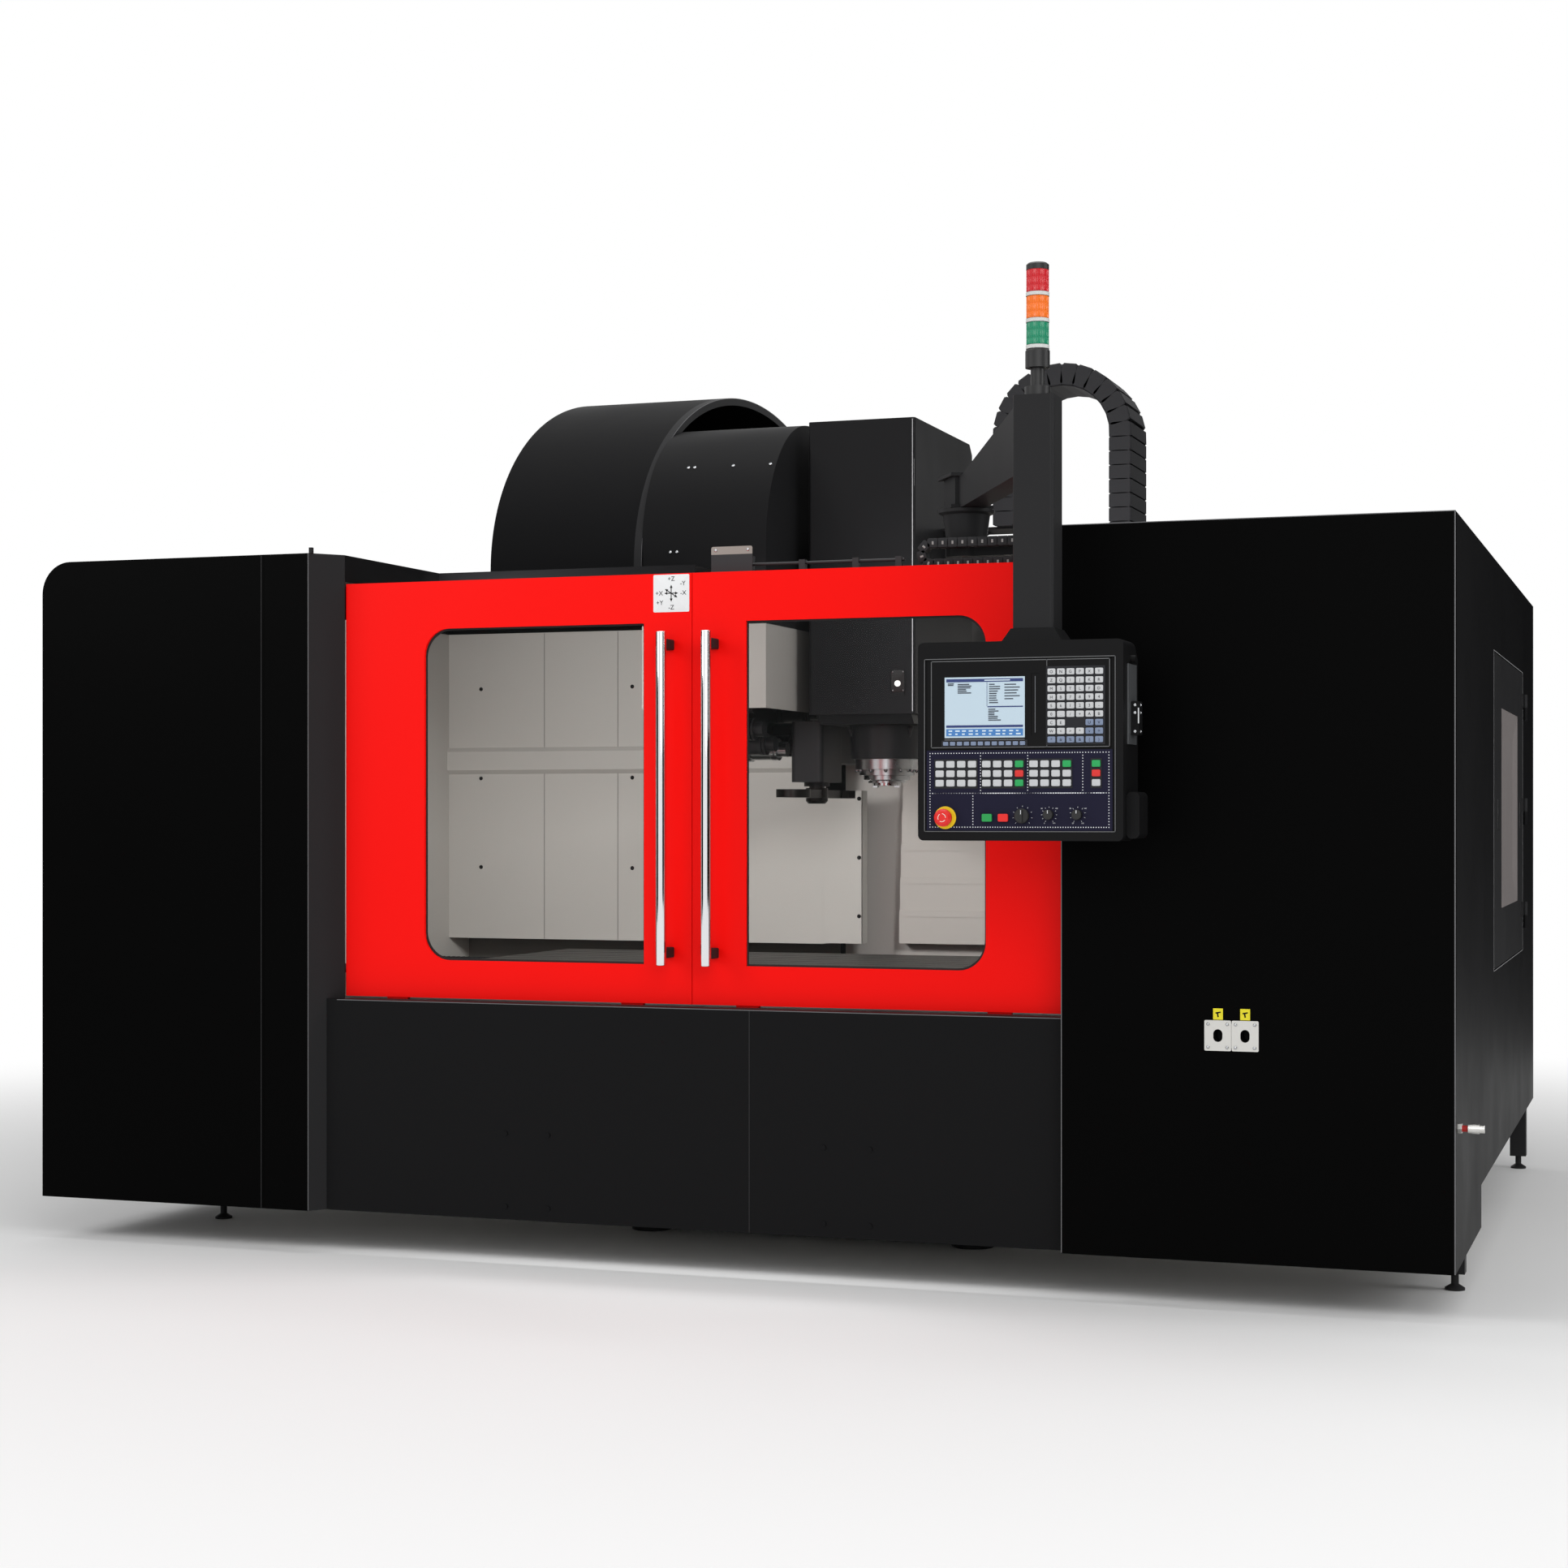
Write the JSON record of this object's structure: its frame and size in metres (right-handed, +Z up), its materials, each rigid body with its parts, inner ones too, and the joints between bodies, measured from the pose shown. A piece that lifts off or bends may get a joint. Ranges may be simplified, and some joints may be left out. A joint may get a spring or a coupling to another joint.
{
  "type": "cnc machining center",
  "caption": "Enclosed vertical machining center with sliding front doors, moving table and saddle, disc tool magazine under an arched hood, and a boom-mounted control pendant.",
  "frame": {"origin": "on the floor, under the middle of the machine's overall box", "axes": "+X to the operator's right along the longest side, +Y to the back, +Z up"},
  "size_m": [5.688, 4.866, 3.7198],
  "materials": {
    "cast_iron_painted": "smooth casting enamel",
    "machined_iron": "ground and milled iron",
    "hard_steel": "ground hardened steel",
    "stainless_sheet": "brushed stainless sheet",
    "black_enamel": "fine textured satin enamel, near black",
    "red_enamel": "satin enamel, bright red",
    "grey_enamel": "satin enamel, light warm grey",
    "window_glass": "clear laminated sheet",
    "polished_tube": "polished",
    "chain_plastic": "moulded, near black",
    "pendant_shell": "fine textured, dark grey",
    "panel_sheet": "satin film over sheet, dark blue grey",
    "screen_glass": "flat display glass, dark",
    "key_plastic": "satin, light keys",
    "red_plastic": "moulded, red",
    "green_plastic": "moulded, green",
    "knob_plastic": "moulded, black",
    "lens_plastic": "ribbed translucent, green, amber and red"
  },
  "bodies": {
    "enclosure": {"base_casting": "cast_iron_painted", "column_casting": "cast_iron_painted", "guide_rails": "hard_steel", "support_feet": "machined_iron", "changer_gearbox": "cast_iron_painted", "door_beam": "stainless_sheet", "left_front_panel": "black_enamel", "left_corner_post": "black_enamel", "left_side_panel": "black_enamel", "left_roof_panel": "black_enamel", "magazine_hood": "black_enamel", "changer_cover": "black_enamel", "right_front_panel": "black_enamel", "right_side_panel": "black_enamel", "right_roof_panel": "black_enamel", "gun_sockets": "stainless_sheet", "air_coupler": "polished_tube", "front_apron": "black_enamel", "splash_guards": "grey_enamel", "chip_pan": "grey_enamel", "rear_panel": "black_enamel", "electrical_cabinet": "grey_enamel", "boom_bracket": "black_enamel"},
    "saddle": {"saddle_casting": "cast_iron_painted", "y_way_cover": "stainless_sheet"},
    "table": {"work_table": "machined_iron", "x_way_covers": "stainless_sheet"},
    "head": {"head_casting": "cast_iron_painted", "head_cover": "black_enamel", "spindle_housing": "hard_steel", "z_way_cover": "stainless_sheet", "z_cable_chain": "chain_plastic"},
    "spindle": {"spindle_shaft": "hard_steel"},
    "unclamp": {"unclamp_button": "green_plastic"},
    "magazine": {"magazine_disc": "hard_steel"},
    "pot": {"change_pot": "hard_steel"},
    "ram": {"changer_ram": "hard_steel"},
    "arm": {"changer_arm": "hard_steel"},
    "left_door": {"left_door": "red_enamel", "left_door_window": "window_glass", "left_door_handle": "polished_tube"},
    "right_door": {"right_door": "red_enamel", "right_door_window": "window_glass", "right_door_handle": "polished_tube", "door_cable_chain": "chain_plastic"},
    "side_door": {"side_door": "black_enamel"},
    "cabinet_door": {"cabinet_door": "black_enamel"},
    "boom": {"pendant_boom": "black_enamel", "stack_light_base": "knob_plastic", "stack_light_lenses": "lens_plastic"},
    "pendant": {"pendant_housing": "pendant_shell", "control_panels": "panel_sheet", "control_screen": "screen_glass", "control_keys": "key_plastic"},
    "stop_button": {"emergency_stop": "red_plastic"},
    "dial": {"mode_dial": "knob_plastic"},
    "feed": {"feed_knob": "knob_plastic"},
    "speed": {"speed_knob": "knob_plastic"},
    "start_button": {"cycle_start_button": "green_plastic"},
    "hold_button": {"feed_hold_button": "red_plastic"}
  },
  "joints": [
    {"name": "y_slide", "type": "slide", "parent": "enclosure", "child": "saddle", "axis": [0, 1, 0], "range_m": [-0.5, 0.5], "deforming": ["y_way_cover"]},
    {"name": "x_slide", "type": "slide", "parent": "saddle", "child": "table", "axis": [1, 0, 0], "range_m": [-0.51, 1.59], "deforming": ["x_way_covers"]},
    {"name": "z_slide", "type": "slide", "parent": "enclosure", "child": "head", "axis": [0, 0, 1], "range_m": [-0.575, 0.225], "deforming": ["z_way_cover", "z_cable_chain"]},
    {"name": "spindle_spin", "type": "hinge", "parent": "head", "child": "spindle", "pos_m": [0.1, 0.24, 1.854], "axis": [0, 0, 1], "continuous": true},
    {"name": "unclamp_press", "type": "slide", "parent": "head", "child": "unclamp", "axis": [0, 1, 0], "range_m": [0, 0.004], "stiffness_N_per_m": 400},
    {"name": "magazine_spin", "type": "hinge", "parent": "enclosure", "child": "magazine", "pos_m": [-0.56, 0.24, 2.64], "axis": [1, 0, 0], "continuous": true},
    {"name": "pot_tilt", "type": "hinge", "parent": "magazine", "child": "pot", "pos_m": [-0.56, 0.24, 2.02], "axis": [0, 1, 0], "range_deg": [0, 90]},
    {"name": "changer_ram_slide", "type": "slide", "parent": "enclosure", "child": "ram", "axis": [0, 0, 1], "range_m": [-0.13, 0]},
    {"name": "changer_swing", "type": "hinge", "parent": "ram", "child": "arm", "pos_m": [-0.23, 0.24, 1.82], "axis": [0, 0, 1], "range_deg": [0, 270]},
    {"name": "left_door_slide", "type": "slide", "parent": "enclosure", "child": "left_door", "axis": [-1, 0, 0], "range_m": [0, 1.2]},
    {"name": "right_door_slide", "type": "slide", "parent": "enclosure", "child": "right_door", "axis": [1, 0, 0], "range_m": [0, 1.2], "deforming": ["door_cable_chain"]},
    {"name": "side_door_hinge", "type": "hinge", "parent": "enclosure", "child": "side_door", "pos_m": [2.767, 1.631, 1.74], "axis": [0, 0, 1], "range_deg": [0, 110]},
    {"name": "cabinet_door_hinge", "type": "hinge", "parent": "enclosure", "child": "cabinet_door", "pos_m": [2.687, 2.441, 1.525], "axis": [0, 0, 1], "range_deg": [-110, 0]},
    {"name": "boom_swing", "type": "hinge", "parent": "enclosure", "child": "boom", "pos_m": [0.956, -1.54, 2.9], "axis": [0, 0, 1], "range_deg": [-35, 5]},
    {"name": "pendant_swivel", "type": "hinge", "parent": "boom", "child": "pendant", "pos_m": [1.4015, -2.25, 2.34], "axis": [0, 0, 1], "range_deg": [-40, 25]},
    {"name": "emergency_stop_press", "type": "slide", "parent": "pendant", "child": "stop_button", "axis": [0, 1, 0], "range_m": [0, 0.006]},
    {"name": "mode_dial_turn", "type": "hinge", "parent": "pendant", "child": "dial", "pos_m": [1.378, -2.367, 1.719], "axis": [0, 1, 0], "range_deg": [-135, 135]},
    {"name": "feed_knob_turn", "type": "hinge", "parent": "pendant", "child": "feed", "pos_m": [1.47, -2.367, 1.723], "axis": [0, 1, 0], "range_deg": [-150, 150]},
    {"name": "speed_knob_turn", "type": "hinge", "parent": "pendant", "child": "speed", "pos_m": [1.568, -2.367, 1.723], "axis": [0, 1, 0], "range_deg": [-150, 150]},
    {"name": "cycle_start_press", "type": "slide", "parent": "pendant", "child": "start_button", "axis": [0, 1, 0], "range_m": [0, 0.004], "stiffness_N_per_m": 200},
    {"name": "feed_hold_press", "type": "slide", "parent": "pendant", "child": "hold_button", "axis": [0, 1, 0], "range_m": [0, 0.004], "stiffness_N_per_m": 200}
  ]
}
